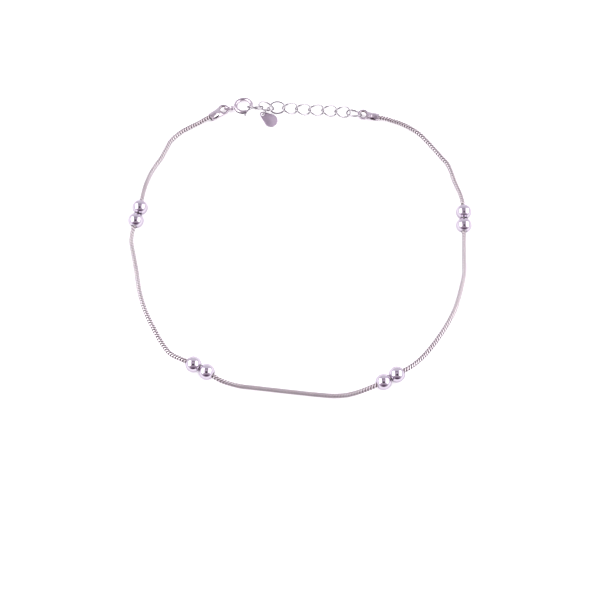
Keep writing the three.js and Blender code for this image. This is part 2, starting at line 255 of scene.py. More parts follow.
# %% Group: silver tone


def new_group(name, inputs, outputs):
    group = bpy.data.node_groups.new(name, "ShaderNodeTree")
    for label, kind, value in inputs:
        socket = group.interface.new_socket(label, in_out="INPUT", socket_type=kind)
        socket.default_value = value
    for label, kind in outputs:
        group.interface.new_socket(label, in_out="OUTPUT", socket_type=kind)
    start = group.nodes.new("NodeGroupInput")
    end = group.nodes.new("NodeGroupOutput")
    return group, start, end


COLOR = "NodeSocketColor"
FLOAT = "NodeSocketFloat"
# The part of the noise that goes from bright to shade
CLOUD_RANGE = (0.35, 0.7)

silver_tone, tone_in, tone_out = new_group(
    "silver_tone",
    [
        ("Bright", COLOR, (0.9, 0.88, 0.9, 1)),
        ("Shade", COLOR, (0.7, 0.66, 0.7, 1)),
        ("Patches per metre", FLOAT, 600),
    ],
    [("Color", COLOR)],
)
tone_place = silver_tone.nodes.new("ShaderNodeTexCoord")
tone_noise = silver_tone.nodes.new("ShaderNodeTexNoise")
tone_noise.inputs["Detail"].default_value = 3
silver_tone.links.new(tone_place.outputs["Object"], tone_noise.inputs["Vector"])
silver_tone.links.new(tone_in.outputs["Patches per metre"], tone_noise.inputs["Scale"])
tone_range = silver_tone.nodes.new("ShaderNodeMapRange")
tone_range.inputs["From Min"].default_value = CLOUD_RANGE[0]
tone_range.inputs["From Max"].default_value = CLOUD_RANGE[1]
silver_tone.links.new(tone_noise.outputs["Fac"], tone_range.inputs["Value"])
tone_mix = silver_tone.nodes.new("ShaderNodeMix")
tone_mix.data_type = "RGBA"
silver_tone.links.new(tone_range.outputs["Result"], tone_mix.inputs["Factor"])
silver_tone.links.new(tone_in.outputs["Bright"], tone_mix.inputs[6])
silver_tone.links.new(tone_in.outputs["Shade"], tone_mix.inputs[7])
silver_tone.links.new(tone_mix.outputs[2], tone_out.inputs["Color"])
print("group silver_tone:", len(silver_tone.nodes), "nodes")

# %% [markdown]
# The second group gives the handling marks: hairline scratches and a slight haze from wear. It puts
# out a roughness that varies and a height for a bump, and each material uses them in its own
# strength. The noise is stretched along one direction, because cloths and fingers rub in strokes.

# %% Group: handling marks
STROKE_TURN = (0.3, 0.5, 0.7)
STROKE_STRETCH = (0.15, 1, 1)
STROKE_RANGE = (0.4, 0.75)

handling_marks, marks_in, marks_out = new_group(
    "handling_marks",
    [
        ("Smooth", FLOAT, 0.08),
        ("Worn", FLOAT, 0.2),
        ("Marks per metre", FLOAT, 3000),
    ],
    [("Roughness", FLOAT), ("Height", FLOAT)],
)
marks_place = handling_marks.nodes.new("ShaderNodeTexCoord")
marks_stretch = handling_marks.nodes.new("ShaderNodeMapping")
marks_stretch.inputs["Rotation"].default_value = STROKE_TURN
marks_stretch.inputs["Scale"].default_value = STROKE_STRETCH
handling_marks.links.new(marks_place.outputs["Object"], marks_stretch.inputs["Vector"])
marks_lines = handling_marks.nodes.new("ShaderNodeTexNoise")
marks_lines.inputs["Detail"].default_value = 4
handling_marks.links.new(marks_stretch.outputs["Vector"], marks_lines.inputs["Vector"])
handling_marks.links.new(marks_in.outputs["Marks per metre"], marks_lines.inputs["Scale"])
marks_range = handling_marks.nodes.new("ShaderNodeMapRange")
marks_range.inputs["From Min"].default_value = STROKE_RANGE[0]
marks_range.inputs["From Max"].default_value = STROKE_RANGE[1]
handling_marks.links.new(marks_lines.outputs["Fac"], marks_range.inputs["Value"])
handling_marks.links.new(marks_in.outputs["Smooth"], marks_range.inputs["To Min"])
handling_marks.links.new(marks_in.outputs["Worn"], marks_range.inputs["To Max"])
handling_marks.links.new(marks_range.outputs["Result"], marks_out.inputs["Roughness"])
handling_marks.links.new(marks_lines.outputs["Fac"], marks_out.inputs["Height"])
print("group handling_marks:", len(handling_marks.nodes), "nodes")

# %% [markdown]
# The third group paints shade into the hollows. Little light reaches between the plates of the chain,
# inside the beads and inside the end caps, and silver also tarnishes there, where no finger or cloth
# reaches, so the dark colour is painted shade with some tarnish. The meshes below carry a value named
# hollow, 0 on open metal and 1 deep inside, and the group mixes the painted shade in by that value.

# %% Group: painted shade and tarnish in the hollows
shade_and_tarnish_in_hollows, hollow_shade_in, hollow_shade_out = new_group(
    "shade_and_tarnish_in_hollows",
    [
        ("Metal", COLOR, (0.9, 0.88, 0.9, 1)),
        ("Painted shade and tarnish", COLOR, (0.2, 0.14, 0.17, 1)),
        ("Amount", FLOAT, 0.95),
    ],
    [("Color", COLOR)],
)
hollow_value = shade_and_tarnish_in_hollows.nodes.new("ShaderNodeAttribute")
hollow_value.attribute_name = "hollow"
hollow_amount = shade_and_tarnish_in_hollows.nodes.new("ShaderNodeMath")
hollow_amount.operation = "MULTIPLY"
shade_and_tarnish_in_hollows.links.new(hollow_value.outputs["Fac"], hollow_amount.inputs[0])
shade_and_tarnish_in_hollows.links.new(hollow_shade_in.outputs["Amount"], hollow_amount.inputs[1])
# Painted shade, with some tarnish, mixed into the metal's colour by the hollow value
hollow_shade_mix = shade_and_tarnish_in_hollows.nodes.new("ShaderNodeMix")
hollow_shade_mix.data_type = "RGBA"
shade_and_tarnish_in_hollows.links.new(hollow_amount.outputs[0], hollow_shade_mix.inputs["Factor"])
shade_and_tarnish_in_hollows.links.new(hollow_shade_in.outputs["Metal"], hollow_shade_mix.inputs[6])
shade_and_tarnish_in_hollows.links.new(hollow_shade_in.outputs["Painted shade and tarnish"], hollow_shade_mix.inputs[7])
shade_and_tarnish_in_hollows.links.new(hollow_shade_mix.outputs[2], hollow_shade_out.inputs["Color"])
print("group shade_and_tarnish_in_hollows:", len(shade_and_tarnish_in_hollows.nodes), "nodes")

# %% [markdown]
# Each finish is one Principled shader, fully metallic, fed by the three groups. The five finishes
# differ only in tone, in how rough they are and in how strong the marks are: mirror polish on the
# beads, a softer polish on the clasp and caps, drawn wire, the ribbed chain, and the satin tag.
# The tint darkens the rims, where bare metal would turn as bright as the table that it mirrors.

# %% Make the five silvers
RIM_TINT = (0.6, 0.57, 0.61, 1)
RELIEF_DEPTH = 0.00002


def silver_finish(name, bright, shade, hollow_shade_and_tarnish, smooth, worn, patches, marks, bump):
    material = bpy.data.materials.new(name)
    material.use_nodes = True
    tree = material.node_tree
    metal = tree.nodes["Principled BSDF"]
    metal.inputs["Metallic"].default_value = 1
    metal.inputs["Specular Tint"].default_value = RIM_TINT
    tone = tree.nodes.new("ShaderNodeGroup")
    tone.node_tree = silver_tone
    tone.inputs["Bright"].default_value = (*bright, 1)
    tone.inputs["Shade"].default_value = (*shade, 1)
    tone.inputs["Patches per metre"].default_value = patches
    # Darkens the hollows with painted shade, with some tarnish
    hollows = tree.nodes.new("ShaderNodeGroup")
    hollows.node_tree = shade_and_tarnish_in_hollows
    hollows.inputs["Painted shade and tarnish"].default_value = (*hollow_shade_and_tarnish, 1)
    wear = tree.nodes.new("ShaderNodeGroup")
    wear.node_tree = handling_marks
    wear.inputs["Smooth"].default_value = smooth
    wear.inputs["Worn"].default_value = worn
    wear.inputs["Marks per metre"].default_value = marks
    relief = tree.nodes.new("ShaderNodeBump")
    relief.inputs["Strength"].default_value = bump
    relief.inputs["Distance"].default_value = RELIEF_DEPTH
    tree.links.new(tone.outputs["Color"], hollows.inputs["Metal"])
    tree.links.new(hollows.outputs["Color"], metal.inputs["Base Color"])
    tree.links.new(wear.outputs["Roughness"], metal.inputs["Roughness"])
    tree.links.new(wear.outputs["Height"], relief.inputs["Height"])
    tree.links.new(relief.outputs["Normal"], metal.inputs["Normal"])
    return material


# Each finish: its bright and its darker silver, then the dark colour of its hollows, which is painted
# shade with some tarnish
FINISHES = {
    "polished_silver": silver_finish(
        "polished_silver", (0.67, 0.61, 0.69), (0.62, 0.56, 0.64), (0.08, 0.045, 0.07),
        smooth=0.04, worn=0.1, patches=500, marks=2500, bump=0.05,
    ),
    "cap_silver": silver_finish(
        "cap_silver", (0.66, 0.59, 0.65), (0.58, 0.51, 0.57), (0.26, 0.2, 0.17),
        smooth=0.2, worn=0.36, patches=900, marks=4000, bump=0.15,
    ),
    "wire_silver": silver_finish(
        "wire_silver", (0.46, 0.43, 0.46), (0.37, 0.35, 0.37), (0.3, 0.25, 0.27),
        smooth=0.12, worn=0.25, patches=1200, marks=5000, bump=0.15,
    ),
    "snake_silver": silver_finish(
        "snake_silver", (0.82, 0.75, 0.78), (0.74, 0.67, 0.7), (0.05, 0.025, 0.03),
        smooth=0.3, worn=0.4, patches=300, marks=5000, bump=0.1,
    ),
    "satin_silver": silver_finish(
        "satin_silver", (0.55, 0.47, 0.56), (0.44, 0.36, 0.45), (0.3, 0.22, 0.28),
        smooth=0.3, worn=0.42, patches=700, marks=3500, bump=0.6,
    ),
}
print("finishes:", ", ".join(FINISHES))

# %% [markdown]
# The table is matt white, with wide, very faint patches from the tone group, so that it isn't one
# flat tone. In the picture the anklet's shadows are nearly gone. More lamps would do that too, but
# they would show in the beads, so the table glows faintly instead. The silver sees less of that
# glow than the camera does, or its lower sides would wash out.

# %% Finish the table
TABLE_WHITE = (0.94, 0.94, 0.945, 1)
TABLE_WHITE_LOW = (0.91, 0.91, 0.92, 1)
TABLE_LIFT = 0.4
LIFT_IN_SILVER = (0.35, 0.35, 0.35, 1)

table_paint = bpy.data.materials.new("table_white")
table_paint.use_nodes = True
paint_tree = table_paint.node_tree
paint = paint_tree.nodes["Principled BSDF"]
paint.inputs["Roughness"].default_value = 0.6
paint.inputs["Specular IOR Level"].default_value = 0.2
paint.inputs["Emission Strength"].default_value = TABLE_LIFT
paint_ray = paint_tree.nodes.new("ShaderNodeLightPath")
paint_lift = paint_tree.nodes.new("ShaderNodeMix")
paint_lift.data_type = "RGBA"
paint_lift.inputs[6].default_value = LIFT_IN_SILVER
paint_lift.inputs[7].default_value = (1, 1, 1, 1)
paint_tree.links.new(paint_ray.outputs["Is Camera Ray"], paint_lift.inputs["Factor"])
paint_tree.links.new(paint_lift.outputs[2], paint.inputs["Emission Color"])
paint_tone = paint_tree.nodes.new("ShaderNodeGroup")
paint_tone.node_tree = silver_tone
paint_tone.inputs["Bright"].default_value = TABLE_WHITE
paint_tone.inputs["Shade"].default_value = TABLE_WHITE_LOW
paint_tone.inputs["Patches per metre"].default_value = 8
paint_tree.links.new(paint_tone.outputs["Color"], paint.inputs["Base Color"])
table.data.materials.append(table_paint)
print("table finished")

# %% [markdown]
# Nearly every piece here is a section carried along a path: chain, wire, strap and tube. A curve
# with a bevel could give some of them, but one helper that builds a mesh from rings of points does
# for all, and it can also say how deep each point lies in a hollow. Where two faces meet at more
# than 40 degrees the edge is marked sharp, and the rest is shaded smooth.

# %% Helper: a skin over rings of points
SHARP_ANGLE = math.radians(40)


def finish_mesh(mesh):
    work = bmesh.new()
    work.from_mesh(mesh)
    bmesh.ops.recalc_face_normals(work, faces=work.faces)
    for face in work.faces:
        face.smooth = True
    for edge in work.edges:
        edge.smooth = len(edge.link_faces) == 2 and edge.calc_face_angle() < SHARP_ANGLE
    work.to_mesh(mesh)
    work.free()


def skin(name, rings, closed=False, hollow=None):
    rings = np.asarray(rings, float)
    count, sides, _ = rings.shape
    faces = []
    for i in range(count if closed else count - 1):
        here = i * sides
        there = ((i + 1) % count) * sides
        for k in range(sides):
            n = (k + 1) % sides
            faces.append((here + k, here + n, there + n, there + k))
    if not closed:
        faces.append(tuple(reversed(range(sides))))
        faces.append(tuple(range((count - 1) * sides, count * sides)))
    mesh = bpy.data.meshes.new(name)
    mesh.from_pydata(rings.reshape(-1, 3), [], faces)
    finish_mesh(mesh)
    values = np.zeros(count * sides) if hollow is None else np.asarray(hollow, float)
    depth = mesh.attributes.new("hollow", "FLOAT", "POINT")
    depth.data.foreach_set("value", values.reshape(-1).astype(np.float32))
    return mesh


# %% [markdown]
# The second helper puts a finished mesh in the scene: it takes the place of a solid, rides on that
# solid's body and gets the finish that the record names for it.

# %% Helper: stand in for a solid
BODY_OF = {
    node: body for body, nodes in frame["record"]["behaviour"]["bodies"].items() for node in nodes
}
SLOT_OF = {part["node"]: part["material_slot"] for part in frame["record"]["subparts"]}


def stand_in(node, mesh, matrix=None):
    if matrix is not None:
        mesh.transform(matrix)
    piece = bpy.data.objects.new(node + "_dressed", mesh)
    bpy.context.scene.collection.objects.link(piece)
    slot = SLOT_OF[node]
    mesh.materials.clear()
    mesh.materials.append(FINISHES[slot])
    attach(piece, BODY_OF[node])
    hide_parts(node)
    return piece


def placed(x, y, z, heading=0.0, pitch=0.0, roll=0.0):
    turn = Matrix.Rotation(math.radians(heading), 4, "Z")
    turn = turn @ Matrix.Rotation(math.radians(-pitch), 4, "Y")
    turn = turn @ Matrix.Rotation(math.radians(roll), 4, "X")
    return Matrix.Translation(Vector((x, y, z)) - LOOP_MIDDLE) @ turn


print("bodies:", sorted(set(BODY_OF.values())), "slots:", sorted(set(SLOT_OF.values())))

# %% [markdown]
# The chain lies as it was put down: nearly straight stretches with soft corners, not a circle. Its
# route is a smooth curve through points on the table, from the clasp's end cap round the front to
# the other cap. Where beads or end caps carry it, it rises to their middle and comes down again.

# %% Lay out the chain's route
ROUTE = [
    (-0.02289, 0.03634), (-0.0246, 0.03533), (-0.0266, 0.0342), (-0.029, 0.0329), (-0.0313, 0.0315),
    (-0.0331, 0.0299), (-0.0345, 0.0282), (-0.0354, 0.0262), (-0.0365, 0.0237), (-0.038, 0.0212),
    (-0.0393, 0.0187), (-0.0401, 0.0161), (-0.0407, 0.0122), (-0.04125, 0.0084), (-0.0421, 0.0049),
    (-0.0428, 0.0019), (-0.0431, -0.0007), (-0.0424, -0.0045), (-0.0415, -0.0087),
    (-0.0404, -0.0143), (-0.0387, -0.0194), (-0.0365, -0.0238), (-0.0342, -0.0278),
    (-0.0318, -0.0308), (-0.0294, -0.0322), (-0.0259, -0.0338), (-0.0228, -0.0356),
    (-0.0196, -0.0376), (-0.0162, -0.0386), (-0.01, -0.0394), (-0.0031, -0.0402), (0.0042, -0.041),
    (0.0084, -0.0413), (0.012, -0.041), (0.0162, -0.0399), (0.0203, -0.0382), (0.0236, -0.0363),
    (0.0275, -0.034), (0.0312, -0.0304), (0.0354, -0.0249), (0.0388, -0.0189), (0.0408, -0.0128),
    (0.0417, -0.0088), (0.0418, -0.0036), (0.042, 0.0034), (0.04215, 0.0072), (0.04185, 0.0112),
    (0.0405, 0.0164), (0.0389, 0.0216), (0.0372, 0.0239), (0.0335, 0.0287), (0.0314, 0.031),
    (0.029, 0.0327), (0.0265, 0.034), (0.0237, 0.03495), (0.0214, 0.03537), (0.01964, 0.03574),
]
CHAIN_RADIUS = 0.0006
BEAD_RADIUS = 0.002
CAP_HEIGHT = 0.001
CLASP_CAP = (-0.0205, 0.0378)
EXTENDER_CAP = (0.0169, 0.0363)
BEAD_PAIRS = [(-0.0417, 0.00665), (-0.02435, -0.0346), (0.02195, -0.03725), (0.0421, 0.00535)]

# What lifts the chain: place, height, length held level on each side, length of the slope
SUPPORTS = [(pair, BEAD_RADIUS, 0.0039, 0.008) for pair in BEAD_PAIRS]
SUPPORTS += [(cap, CAP_HEIGHT, 0.0046, 0.004) for cap in (CLASP_CAP, EXTENDER_CAP)]


def chain_height(plan):
    height = np.full(len(plan), CHAIN_RADIUS)
    for place, middle, level, slope in SUPPORTS:
        distance = np.linalg.norm(plan - np.array(place), axis=1)
        t = np.clip((level + slope - distance) / slope, 0, 1)
        lift = t * t * (3 - 2 * t)
        height = np.maximum(height, CHAIN_RADIUS + (middle - CHAIN_RADIUS) * lift)
    return height


def smooth_through(points, steps):
    # Centripetal curve through the points, the same one that the solid follows
    before = 2 * np.array(points[0]) - points[1]
    after = 2 * np.array(points[-1]) - points[-2]
    points = np.array([before, *points, after])
    t = np.linspace(0, 1, steps, endpoint=False)[:, None]
    curve = []
    for p0, p1, p2, p3 in zip(points, points[1:], points[2:], points[3:]):
        d0, d1, d2 = (np.linalg.norm(b - a) ** 0.5 for a, b in ((p0, p1), (p1, p2), (p2, p3)))
        leave = ((p1 - p0) / d0 - (p2 - p0) / (d0 + d1) + (p2 - p1) / d1) * d1
        arrive = ((p2 - p1) / d1 - (p3 - p1) / (d1 + d2) + (p3 - p2) / d2) * d1
        bend = -3 * p1 + 3 * p2 - 2 * leave - arrive
        ease = 2 * p1 - 2 * p2 + leave + arrive
        curve.append(p1 + leave * t + bend * t**2 + ease * t**3)
    curve.append(points[-2][None, :])
    return np.concatenate(curve)


plan = smooth_through(ROUTE, 60)
chain_line = np.column_stack([plan, chain_height(plan)]) - np.array(LOOP_MIDDLE)
chain_steps = np.linalg.norm(np.diff(chain_line, axis=0), axis=1)
chain_along = np.concatenate([[0], np.cumsum(chain_steps)])
chain_length = chain_along[-1]
print("chain length in mm:", round(1000 * chain_length, 1))

# %% [markdown]
# Along the route the chain needs directions: forward, sideways and up. They are worked out once for many
# places, and any place between is blended from its neighbours.

# %% Find places along the chain
LOOK_AHEAD = 0.0001


def along_line(line, along, at):
    return np.column_stack([np.interp(at, along, line[:, i]) for i in range(3)])


def unit(vectors):
    return vectors / np.linalg.norm(vectors, axis=-1, keepdims=True)


def chain_at(at):
    at = np.atleast_1d(at)
    here = along_line(chain_line, chain_along, at)
    ahead = along_line(chain_line, chain_along, np.minimum(at + LOOK_AHEAD, chain_length))
    behind = along_line(chain_line, chain_along, np.maximum(at - LOOK_AHEAD, 0))
    forward = unit(ahead - behind)
    side = unit(np.cross([0, 0, 1], forward))
    return here, forward, side, np.cross(forward, side)


def chain_place_near(point):
    gaps = np.linalg.norm(chain_line[:, :2] - np.array(point)[:2], axis=1)
    return chain_along[int(np.argmin(gaps))]


chain_start = chain_at(0)[0][0]
print("chain starts at", np.round(1000 * chain_start, 1), "mm")

# %% [markdown]
# A snake chain is made of hundreds of small bent plates, pushed into each other so that it looks
# like a ribbed cord. It could be drawn with a bump, but its outline would stay straight. So each
# plate is six rings of points: it rises from a groove, swells and falls into the next groove. The
# plates are folded, so each ring leans along the chain and back, twice on its way round, which
# gives the slanted dashes of a real snake chain. Every point in a groove is marked as hollow, so the
# grooves get painted shade, with a little tarnish, which darkens the dashes.

# %% Make the snake chain
PLATE_PITCH = 0.0007
CHAIN_SIDES = 20
LEAN = 0.00025
# Place along the plate, share of the chain's radius, how hollow, which sets its painted shade
PLATE_PROFILE = [
    (0.0, 0.8, 1), (0.18, 0.93, 1), (0.3, 0.98, 0), (0.5, 1, 0), (0.7, 0.98, 0), (0.82, 0.93, 1),
]

plate_count = int(chain_length / PLATE_PITCH)
plate_pitch = chain_length / plate_count
round_angles = np.arange(CHAIN_SIDES) / CHAIN_SIDES * 2 * math.pi
lean_along = LEAN * np.sin(2 * round_angles)
chain_rings = []
chain_hollow = []
for plate in range(plate_count):
    for part, swell, depth in PLATE_PROFILE:
        at = np.clip((plate + part) * plate_pitch + lean_along, 0, chain_length)
        here, forward, side, up = chain_at(at)
        radius = CHAIN_RADIUS * swell
        spokes = side * np.cos(round_angles)[:, None] + up * np.sin(round_angles)[:, None]
        chain_rings.append(here + radius * spokes)
        chain_hollow.append(np.full(CHAIN_SIDES, depth))
snake = stand_in("snake_chain", skin("snake_chain", chain_rings, hollow=chain_hollow))
print("plates:", plate_count, "faces:", len(snake.data.polygons))

# %% [markdown]
# The beads are hollow balls of thin silver, drilled for the chain, with the edge of each hole
# rolled inwards. A ball with a hole could be cut with a boolean, but turning one closed outline
# round the hole's axis gives the wall, the rolled edge and the inside in one clean mesh.

# %% Make a bead
BEAD_HOLE_RADIUS = 0.0008
BEAD_WALL = 0.00022
BEAD_ROLL = 0.00011
BEAD_INSIDE_STOP = 0.04
BEAD_SIDES = 56


def arc_points(middle, radius, start, stop, steps):
    angles = np.linspace(start, stop, steps)
    return [(middle[0] + radius * math.cos(a), middle[1] + radius * math.sin(a)) for a in angles]


def circle(radius, steps, middle=(0, 0)):
    return [(x, y, 0) for x, y in arc_points(middle, radius, 0, 2 * math.pi, steps + 1)[:-1]]


def turned(name, outline, sides, hollow=None):
    # An outline of (radius, height) points turned round Y
    angles = np.arange(sides) / sides * 2 * math.pi
    outline = np.array(outline)
    rings = np.empty((len(outline), sides, 3))
    rings[:, :, 0] = outline[:, :1] * np.cos(angles)
    rings[:, :, 1] = outline[:, 1:2]
    rings[:, :, 2] = outline[:, :1] * np.sin(angles)
    values = None if hollow is None else np.repeat(np.array(hollow)[:, None], sides, axis=1)
    return skin(name, rings, closed=True, hollow=values)


def bead_outline():
    roll_middle_radius = BEAD_HOLE_RADIUS + BEAD_ROLL
    reach = BEAD_RADIUS - BEAD_ROLL
    roll_height = math.sqrt(reach**2 - roll_middle_radius**2)
    edge = math.atan2(roll_height, roll_middle_radius)
    outer = arc_points((0, 0), BEAD_RADIUS, -edge, edge, 48)
    top_roll = arc_points((roll_middle_radius, roll_height), BEAD_ROLL, edge, 1.5 * math.pi, 9)[1:]
    stop = edge - BEAD_INSIDE_STOP
    inner = arc_points((0, 0), BEAD_RADIUS - BEAD_WALL, stop, -stop, 20)
    low_middle = (roll_middle_radius, -roll_height)
    low_roll = arc_points(low_middle, BEAD_ROLL, 0.5 * math.pi, 2 * math.pi - edge, 9)
    return outer + top_roll + inner + low_roll[:-1], len(outer) + len(top_roll), len(inner)


outline, before_inside, inside = bead_outline()
# The inside of the ball is marked hollow, so it is painted dark as shade, with a little tarnish
bead_hollow = [0.0] * len(outline)
bead_hollow[before_inside:before_inside + inside] = [1.0] * inside
bead_mesh = turned("bead", outline, BEAD_SIDES, bead_hollow)
print("bead faces:", len(bead_mesh.polygons))

# %% [markdown]
# Each bead goes where its solid is, with its hole along the chain. The eight beads have one shape,
# and each gets a copy of its own that is laid in place, so that the faint marks, which follow the
# place of the metal, fall differently on each.

# %% Thread the beads
for number in range(1, 9):
    node = f"bead_{number:02d}"
    low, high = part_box(node)
    middle = (low + high) / 2
    _, forward, _, _ = chain_at(chain_place_near(middle))
    turn = Vector((0, 1, 0)).rotation_difference(Vector(forward[0])).to_matrix().to_4x4()
    stand_in(node, bead_mesh.copy(), Matrix.Translation(middle) @ turn)
print("beads threaded: 8")

# %% [markdown]
# An end cap is one strip of silver, folded in half. The fold is bent round into an eye, and the two
# ends become legs, curled round the end of the chain, with a seam between them that opens into a gap
# like a slim leaf. One bent sheet would be hard to steer, so it is built as three shapes that are
# then joined: the eye's band, the curled legs and the collar.

# %% Fold the end caps: the eye
CAP_LENGTH = 0.0042
EYE_RADIUS = 0.00119
EYE_HALF = (0.0003, 0.00036)
EYE_ROUNDNESS = 0.5


def rounded_oblong(half_wide, half_tall, roundness, steps=24):
    # Points of a rectangle whose corners are softened, as rolled strip has them
    angles = np.arange(steps) / steps * 2 * math.pi
    wide = np.sign(np.cos(angles)) * np.abs(np.cos(angles)) ** roundness
    tall = np.sign(np.sin(angles)) * np.abs(np.sin(angles)) ** roundness
    return np.column_stack([half_wide * wide, half_tall * tall])


def eye_mesh():
    section = rounded_oblong(*EYE_HALF, EYE_ROUNDNESS)
    rings = []
    for angle in np.linspace(0, 2 * math.pi, 64, endpoint=False):
        out = np.array([math.cos(angle), math.sin(angle), 0])
        spokes = np.outer(section[:, 0], out)
        rings.append(EYE_RADIUS * out + spokes + np.outer(section[:, 1], [0, 0, 1]))
    return skin("eye", rings, closed=True)


print("eye faces:", len(eye_mesh().polygons))

# %% [markdown]
# The legs are the part with the most shape: round at the chain, then lower and wider until they
# run into the eye. A list of stations along the cap gives the width, the height and the seam at
# each place. The cap at the clasp was crimped harder, so its legs are wider and off to one side.
# Two numbers, spread and slip, do that to the same stations.

# %% Fold the end caps: the legs
# Place along the cap, half width, half height, half the seam's opening and its twist, in degrees
LEG_STATIONS = [
    (-0.0042, 0.00092, 0.0009, 4, 0),
    (-0.0038, 0.00095, 0.00094, 6, 1),
    (-0.0034, 0.00097, 0.00097, 18, 2),
    (-0.003, 0.00098, 0.00097, 28, 2),
    (-0.0026, 0.00099, 0.00093, 28, 0),
    (-0.0022, 0.00101, 0.00083, 16, -8),
    (-0.0018, 0.00105, 0.00072, 7, -22),
    (-0.0014, 0.0011, 0.0006, 5, -38),
    (-0.001, 0.00116, 0.0005, 5, -52),
    (-0.0006, 0.0012, 0.00044, 5, -62),
]
LEG_THICKNESS = 0.0002
LEG_POINTS = 34
PIN_REACH = 0.002


def legs_mesh(seam_turn, gape, spread, slip):
    # seam_turn turns the seam from the top to a side, gape opens it, spread makes the legs wider,
    # and slip moves them sideways at the chain
    side = math.copysign(1, seam_turn)
    rings = []
    for x, wide, tall, opening, twist in smooth_through(LEG_STATIONS, 5):
        wide *= spread
        off = slip * x / -CAP_LENGTH
        middle = math.pi / 2 + math.radians(seam_turn + side * twist)
        opening = math.radians(gape * opening)
        start, stop = middle + opening, middle + 2 * math.pi - opening
        around = np.linspace(start, stop, LEG_POINTS)
        skin_out = [(x, off + wide * math.cos(a), tall * math.sin(a)) for a in around]
        wide, tall = wide - LEG_THICKNESS, tall - LEG_THICKNESS
        inside = [(x, off + wide * math.cos(a), tall * math.sin(a)) for a in around[::-1]]
        rings.append(skin_out + inside)
    values = np.tile([0.0] * LEG_POINTS + [1.0] * LEG_POINTS, (len(rings), 1))
    return skin("legs", rings, hollow=values)


def hole_cutter():
    # A pin as wide as the eye's hole
    ends = (-PIN_REACH, PIN_REACH)
    round_pin = circle(EYE_RADIUS - EYE_HALF[0], 64)
    return skin("pin", [[(x, y, z) for x, y, _ in round_pin] for z in ends])


print("legs faces:", len(legs_mesh(60, 1, 1, 0).polygons))

# %% [markdown]
# Soldered or folded metal is one piece, so its shapes have to become one skin. Laying them over
# each other would leave walls inside. Booleans melt them together, and the same helper takes
# holes out with a cutter.

# %% Join shapes into one mesh


def join_shapes(name, meshes, cutters=()):
    pieces = []
    for mesh in [*meshes, *cutters]:
        piece = bpy.data.objects.new(name, mesh)
        bpy.context.scene.collection.objects.link(piece)
        pieces.append(piece)
    base = pieces[0]
    for i, piece in enumerate(pieces[1:], 1):
        step = base.modifiers.new("join", "BOOLEAN")
        step.operation = "UNION" if i < len(meshes) else "DIFFERENCE"
        step.solver = "EXACT"
        step.object = piece
    bpy.context.view_layer.update()
    result = bpy.data.meshes.new_from_object(base.evaluated_get(bpy.context.evaluated_depsgraph_get()))
    for piece in pieces:
        bpy.data.objects.remove(piece)
    finish_mesh(result)
    return result


# %% [markdown]
# A boolean can smear the hollow value over the faces that it cuts. So on the caps the value is set
# again after the joining, from where each point lies: inside the curled legs or on the eye's wall.
# There the colour is painted shade, with some tarnish.

# %% Mark the hollows of the end caps
EYE_WALL_HOLLOW = 0.9


def mark_cap_hollows(mesh, spread, slip):
    # 1 inside the curled legs, less on the wall of the eye's hole and 0 outside: how much painted shade,
    # with some tarnish, each point gets
    points = np.empty(3 * len(mesh.vertices))
    mesh.vertices.foreach_get("co", points)
    x, y, z = points.reshape(-1, 3).T
    places, wide, tall, _, _ = np.array(LEG_STATIONS).T
    across = (y - slip * x / -CAP_LENGTH) / (spread * np.interp(x, places, wide) - LEG_THICKNESS / 2)
    upward = z / (np.interp(x, places, tall) - LEG_THICKNESS / 2)
    in_legs = (x < places[-1]) & (across**2 + upward**2 < 1)
    in_eye = np.hypot(x, y) < EYE_RADIUS - 0.9 * EYE_HALF[0]
    values = np.where(in_legs, 1.0, np.where(in_eye, EYE_WALL_HOLLOW, 0.0))
    mesh.attributes["hollow"].data.foreach_set("value", values.astype(np.float32))


# %% [markdown]
# A collar, a short tube with softened edges, holds the legs round the chain. It is turned like a
# bead and follows the spread and the slip of the legs. Then each cap is joined and put in place.

# %% Put the collars on the end caps
COLLAR = {"length": 0.00036, "inner": 0.00076, "outer": 0.00101}


def band_mesh(x_start, x_stop, inner, outer):
    roll = (outer - inner) / 3
    outline = [
        (inner, x_start), (outer - roll, x_start), (outer, x_start + roll),
        (outer, x_stop - roll), (outer - roll, x_stop), (inner, x_stop),
    ]
    band = turned("band", outline, 40)
    band.transform(Matrix.Rotation(math.radians(-90), 4, "Z"))
    return band


# Node, eye, heading, turn of the seam, its gape, and how far the legs are spread and slipped to one side
for node, place, heading, seam_turn, gape, spread, slip in (
    ("end_cap_clasp", CLASP_CAP, 31.5, 60, 0.5, 1.22, -0.00028),
    ("end_cap_extender", EXTENDER_CAP, 168.4, -78, 0.6, 1, 0),
):
    collar = band_mesh(-CAP_LENGTH, -CAP_LENGTH + COLLAR["length"], COLLAR["inner"], COLLAR["outer"])
    collar.transform(Matrix.Translation((0, slip, 0)) @ Matrix.Diagonal((1, spread, 1, 1)))
    legs = legs_mesh(seam_turn, gape, spread, slip)
    cap = join_shapes("end_cap", [legs, eye_mesh(), collar], [hole_cutter()])
    mark_cap_hollows(cap, spread, slip)
    stand_in(node, cap, placed(*place, CAP_HEIGHT, heading=heading))
    print(node, "faces:", len(cap.polygons))

# %% [markdown]
# The clasp is a spring ring: a hollow tube bent into a ring with a gap, the gate. A thin bolt slides
# inside the tube and closes the gate, and its thumb knob sticks out through a slot. The tube's skin
# goes along the outside and back along the inside, so it is really hollow, and then the slot is cut.

